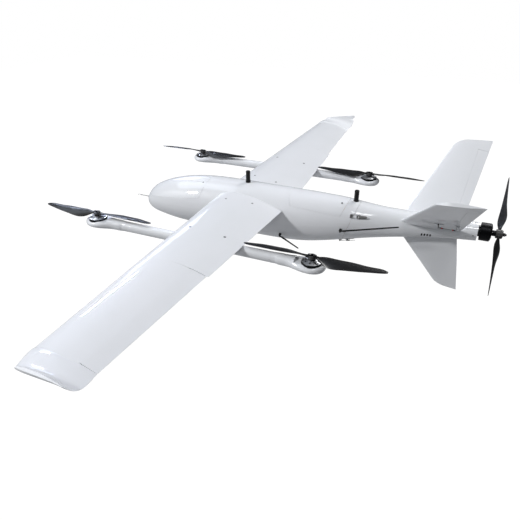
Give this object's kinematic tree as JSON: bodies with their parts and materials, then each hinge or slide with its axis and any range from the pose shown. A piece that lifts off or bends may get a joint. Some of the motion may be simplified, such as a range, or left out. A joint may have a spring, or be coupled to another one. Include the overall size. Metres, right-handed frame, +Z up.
{
  "type": "fixed-wing drone",
  "caption": "Fixed-wing drone with lift rotors on under-wing booms, a V-tail with a ventral fin, and a pusher propeller at the tail.",
  "frame": {"origin": "centre of the payload plate's lower face, on the belly midway between the lift rotors", "axes": "+X towards the nose, +Y to port along the span, +Z up"},
  "size_m": [1.798, 2.5926, 0.5178],
  "materials": {
    "white_paint": "gloss painted composite",
    "propeller_plastic": "smooth moulded",
    "black_plastic": "matt moulded",
    "black_rubber": "satin",
    "black_metal": "black anodised",
    "motor_metal": "lacquered windings on an alloy base",
    "aluminium": "satin machined",
    "steel": "satin",
    "carbon_plate": "woven carbon",
    "plywood": "sealed",
    "battery_wrap": "shrink wrap"
  },
  "bodies": {
    "root": {"airframe_screws": "steel", "antenna_sockets": "black_plastic", "battery_packs": "battery_wrap", "equipment_tray": "carbon_plate", "flight_controller": "black_plastic", "fuselage_shell": "white_paint", "gnss_antennas": "black_plastic", "hinge_pins": "steel", "latch_bases": "steel", "lift_boom_tubes": "white_paint", "motor_pods": "white_paint", "motor_stators": "motor_metal", "payload_plate": "aluminium", "pitot_tube": "steel", "ring_frames": "plywood", "servo_covers": "white_paint", "servos": "black_plastic", "spar_tubes": "carbon_plate", "tail_boom_shell": "white_paint", "tail_cap": "white_paint", "ventral_fin": "white_paint", "vtail_fin_left": "white_paint", "vtail_fin_right": "white_paint", "wing_panel_left": "white_paint", "wing_panel_right": "white_paint"},
    "lift_rotor_front_left": {"lift_motor_bell_front_left": "black_metal", "lift_propeller_front_left": "propeller_plastic"},
    "lift_rotor_front_right": {"lift_motor_bell_front_right": "black_metal", "lift_propeller_front_right": "propeller_plastic"},
    "lift_rotor_rear_left": {"lift_motor_bell_rear_left": "black_metal", "lift_propeller_rear_left": "propeller_plastic"},
    "lift_rotor_rear_right": {"lift_motor_bell_rear_right": "black_metal", "lift_propeller_rear_right": "propeller_plastic"},
    "pusher_rotor": {"pusher_motor_bell": "black_metal", "pusher_propeller": "propeller_plastic", "pusher_prop_nut": "steel"},
    "aileron_left": {"aileron_left": "white_paint"},
    "aileron_servo_arm_left": {"aileron_servo_arm_left": "black_plastic"},
    "aileron_pushrod_left": {"aileron_pushrod_left": "steel"},
    "aileron_right": {"aileron_right": "white_paint"},
    "aileron_servo_arm_right": {"aileron_servo_arm_right": "black_plastic"},
    "aileron_pushrod_right": {"aileron_pushrod_right": "steel"},
    "ruddervator_left": {"ruddervator_left": "white_paint"},
    "ruddervator_servo_arm_left": {"ruddervator_servo_arm_left": "black_plastic"},
    "ruddervator_pushrod_left": {"ruddervator_pushrod_left": "steel"},
    "ruddervator_right": {"ruddervator_right": "white_paint"},
    "ruddervator_servo_arm_right": {"ruddervator_servo_arm_right": "black_plastic"},
    "ruddervator_pushrod_right": {"ruddervator_pushrod_right": "steel"},
    "nose_hatch": {"nose_hatch": "white_paint"},
    "nose_hatch_lock": {"nose_hatch_lock": "steel"},
    "rear_hatch": {"rear_hatch": "white_paint"},
    "rear_hatch_lock": {"rear_hatch_lock": "steel"},
    "latch_lever_port": {"latch_lever_port": "steel"},
    "latch_bail_port": {"latch_bail_port": "steel"},
    "latch_lever_starboard": {"latch_lever_starboard": "steel"},
    "latch_bail_starboard": {"latch_bail_starboard": "steel"},
    "latch_lever_belly": {"latch_lever_belly": "steel"},
    "latch_bail_belly": {"latch_bail_belly": "steel"},
    "side_whip_antenna_front": {"side_whip_antenna_front": "black_rubber"},
    "side_whip_antenna_rear": {"side_whip_antenna_rear": "black_rubber"}
  },
  "joints": [
    {"name": "lift_rotor_front_left_spin", "type": "hinge", "parent": "root", "child": "lift_rotor_front_left", "pos_m": [0.463, 0.44, 0.184], "axis": [0, 0, 1], "continuous": true},
    {"name": "lift_rotor_front_right_spin", "type": "hinge", "parent": "root", "child": "lift_rotor_front_right", "pos_m": [0.463, -0.44, 0.184], "axis": [0, 0, 1], "continuous": true},
    {"name": "lift_rotor_rear_left_spin", "type": "hinge", "parent": "root", "child": "lift_rotor_rear_left", "pos_m": [-0.463, 0.44, 0.184], "axis": [0, 0, 1], "continuous": true},
    {"name": "lift_rotor_rear_right_spin", "type": "hinge", "parent": "root", "child": "lift_rotor_rear_right", "pos_m": [-0.463, -0.44, 0.184], "axis": [0, 0, 1], "continuous": true},
    {"name": "pusher_spin", "type": "hinge", "parent": "root", "child": "pusher_rotor", "pos_m": [-1.049, 0, 0.18], "axis": [-1, 0, 0], "continuous": true},
    {"name": "aileron_left_hinge", "type": "hinge", "parent": "root", "child": "aileron_left", "pos_m": [-0.12122, 0.76597, 0.18442], "axis": [0.0244, 0.9997, 0.0086], "range_deg": [-25, 25]},
    {"name": "aileron_servo_arm_left_turn", "type": "hinge", "parent": "root", "child": "aileron_servo_arm_left", "pos_m": [-0.05924, 0.76444, 0.18641], "axis": [0.0244, 0.9997, 0.0086], "range_deg": [-25, 25]},
    {"name": "aileron_pushrod_left_pivot", "type": "hinge", "parent": "aileron_servo_arm_left", "child": "aileron_pushrod_left", "pos_m": [-0.06324, 0.76472, 0.16541], "axis": [0.0244, 0.9997, 0.0086], "range_deg": [-25, 25]},
    {"name": "aileron_right_hinge", "type": "hinge", "parent": "root", "child": "aileron_right", "pos_m": [-0.12122, -0.76597, 0.18442], "axis": [-0.0244, 0.9997, -0.0086], "range_deg": [-25, 25]},
    {"name": "aileron_servo_arm_right_turn", "type": "hinge", "parent": "root", "child": "aileron_servo_arm_right", "pos_m": [-0.05924, -0.76444, 0.18641], "axis": [-0.0244, 0.9997, -0.0086], "range_deg": [-25, 25]},
    {"name": "aileron_pushrod_right_pivot", "type": "hinge", "parent": "aileron_servo_arm_right", "child": "aileron_pushrod_right", "pos_m": [-0.06324, -0.76472, 0.16541], "axis": [-0.0244, 0.9997, -0.0086], "range_deg": [-25, 25]},
    {"name": "ruddervator_left_hinge", "type": "hinge", "parent": "root", "child": "ruddervator_left", "pos_m": [-0.89555, 0.10965, 0.23702], "axis": [-0.0975, 0.8102, 0.5779], "range_deg": [-25, 25]},
    {"name": "ruddervator_servo_arm_left_turn", "type": "hinge", "parent": "root", "child": "ruddervator_servo_arm_left", "pos_m": [-0.83385, 0.11457, 0.24053], "axis": [-0.0975, 0.8102, 0.5779], "range_deg": [-25, 25]},
    {"name": "ruddervator_pushrod_left_pivot", "type": "hinge", "parent": "ruddervator_servo_arm_left", "child": "ruddervator_pushrod_left", "pos_m": [-0.83783, 0.12645, 0.2232], "axis": [-0.0975, 0.8102, 0.5779], "range_deg": [-25, 25]},
    {"name": "ruddervator_right_hinge", "type": "hinge", "parent": "root", "child": "ruddervator_right", "pos_m": [-0.89555, -0.10965, 0.23702], "axis": [0.0975, 0.8102, -0.5779], "range_deg": [-25, 25]},
    {"name": "ruddervator_servo_arm_right_turn", "type": "hinge", "parent": "root", "child": "ruddervator_servo_arm_right", "pos_m": [-0.83385, -0.11457, 0.24053], "axis": [0.0975, 0.8102, -0.5779], "range_deg": [-25, 25]},
    {"name": "ruddervator_pushrod_right_pivot", "type": "hinge", "parent": "ruddervator_servo_arm_right", "child": "ruddervator_pushrod_right", "pos_m": [-0.83783, -0.12645, 0.2232], "axis": [0.0975, 0.8102, -0.5779], "range_deg": [-25, 25]},
    {"name": "nose_hatch_lift", "type": "slide", "parent": "root", "child": "nose_hatch", "axis": [0, 0, 1], "range_m": [0, 0.08]},
    {"name": "nose_hatch_lock_turn", "type": "hinge", "parent": "nose_hatch", "child": "nose_hatch_lock", "pos_m": [0.184, 0.04593, 0.21683], "axis": [0.0422, 0.4064, 0.9127], "range_deg": [0, 90]},
    {"name": "rear_hatch_lift", "type": "slide", "parent": "root", "child": "rear_hatch", "axis": [0, 0, 1], "range_m": [0, 0.08]},
    {"name": "rear_hatch_lock_turn", "type": "hinge", "parent": "rear_hatch", "child": "rear_hatch_lock", "pos_m": [-0.455, 0.03693, 0.21961], "axis": [-0.0626, 0.4059, 0.9118], "range_deg": [0, 90]},
    {"name": "latch_lever_port_open", "type": "hinge", "parent": "root", "child": "latch_lever_port", "pos_m": [-0.53425, 0.07083, 0.1877], "axis": [-0.0689, 0.5211, -0.8507], "range_deg": [0, 110]},
    {"name": "latch_bail_port_pivot", "type": "hinge", "parent": "latch_lever_port", "child": "latch_bail_port", "pos_m": [-0.54209, 0.06917, 0.18732], "axis": [-0.0689, 0.5211, -0.8507], "range_deg": [-110, 0]},
    {"name": "latch_lever_starboard_open", "type": "hinge", "parent": "root", "child": "latch_lever_starboard", "pos_m": [-0.53258, -0.07401, 0.18264], "axis": [0.0718, 0.4598, 0.8851], "range_deg": [0, 110]},
    {"name": "latch_bail_starboard_pivot", "type": "hinge", "parent": "latch_lever_starboard", "child": "latch_bail_starboard", "pos_m": [-0.54041, -0.07228, 0.18238], "axis": [0.0718, 0.4598, 0.8851], "range_deg": [-110, 0]},
    {"name": "latch_lever_belly_open", "type": "hinge", "parent": "root", "child": "latch_lever_belly", "pos_m": [-0.49041, 0.03565, 0.05578], "axis": [-0.0331, -0.9232, -0.3829], "range_deg": [0, 110]},
    {"name": "latch_bail_belly_pivot", "type": "hinge", "parent": "latch_lever_belly", "child": "latch_bail_belly", "pos_m": [-0.49803, 0.03491, 0.0582], "axis": [-0.0331, -0.9232, -0.3829], "range_deg": [-110, 0]},
    {"name": "side_whip_antenna_front_tilt", "type": "hinge", "parent": "root", "child": "side_whip_antenna_front", "pos_m": [-0.211, 0.10671, 0.05588], "axis": [0.0546, -0.5098, -0.8586], "range_deg": [0, 67]},
    {"name": "side_whip_antenna_rear_tilt", "type": "hinge", "parent": "root", "child": "side_whip_antenna_rear", "pos_m": [-0.47, 0.09943, 0.1241], "axis": [-0.2596, -0.1344, -0.9563], "range_deg": [0, 92]}
  ],
  "couplings": [
    {"joint": "aileron_servo_arm_left_turn", "follows": "aileron_left_hinge", "ratio": 1},
    {"joint": "aileron_pushrod_left_pivot", "follows": "aileron_left_hinge", "ratio": -1},
    {"joint": "aileron_servo_arm_right_turn", "follows": "aileron_right_hinge", "ratio": 1},
    {"joint": "aileron_pushrod_right_pivot", "follows": "aileron_right_hinge", "ratio": -1},
    {"joint": "ruddervator_servo_arm_left_turn", "follows": "ruddervator_left_hinge", "ratio": 1},
    {"joint": "ruddervator_pushrod_left_pivot", "follows": "ruddervator_left_hinge", "ratio": -1},
    {"joint": "ruddervator_servo_arm_right_turn", "follows": "ruddervator_right_hinge", "ratio": 1},
    {"joint": "ruddervator_pushrod_right_pivot", "follows": "ruddervator_right_hinge", "ratio": -1},
    {"joint": "latch_bail_port_pivot", "follows": "latch_lever_port_open", "ratio": -1},
    {"joint": "latch_bail_starboard_pivot", "follows": "latch_lever_starboard_open", "ratio": -1},
    {"joint": "latch_bail_belly_pivot", "follows": "latch_lever_belly_open", "ratio": -1}
  ]
}
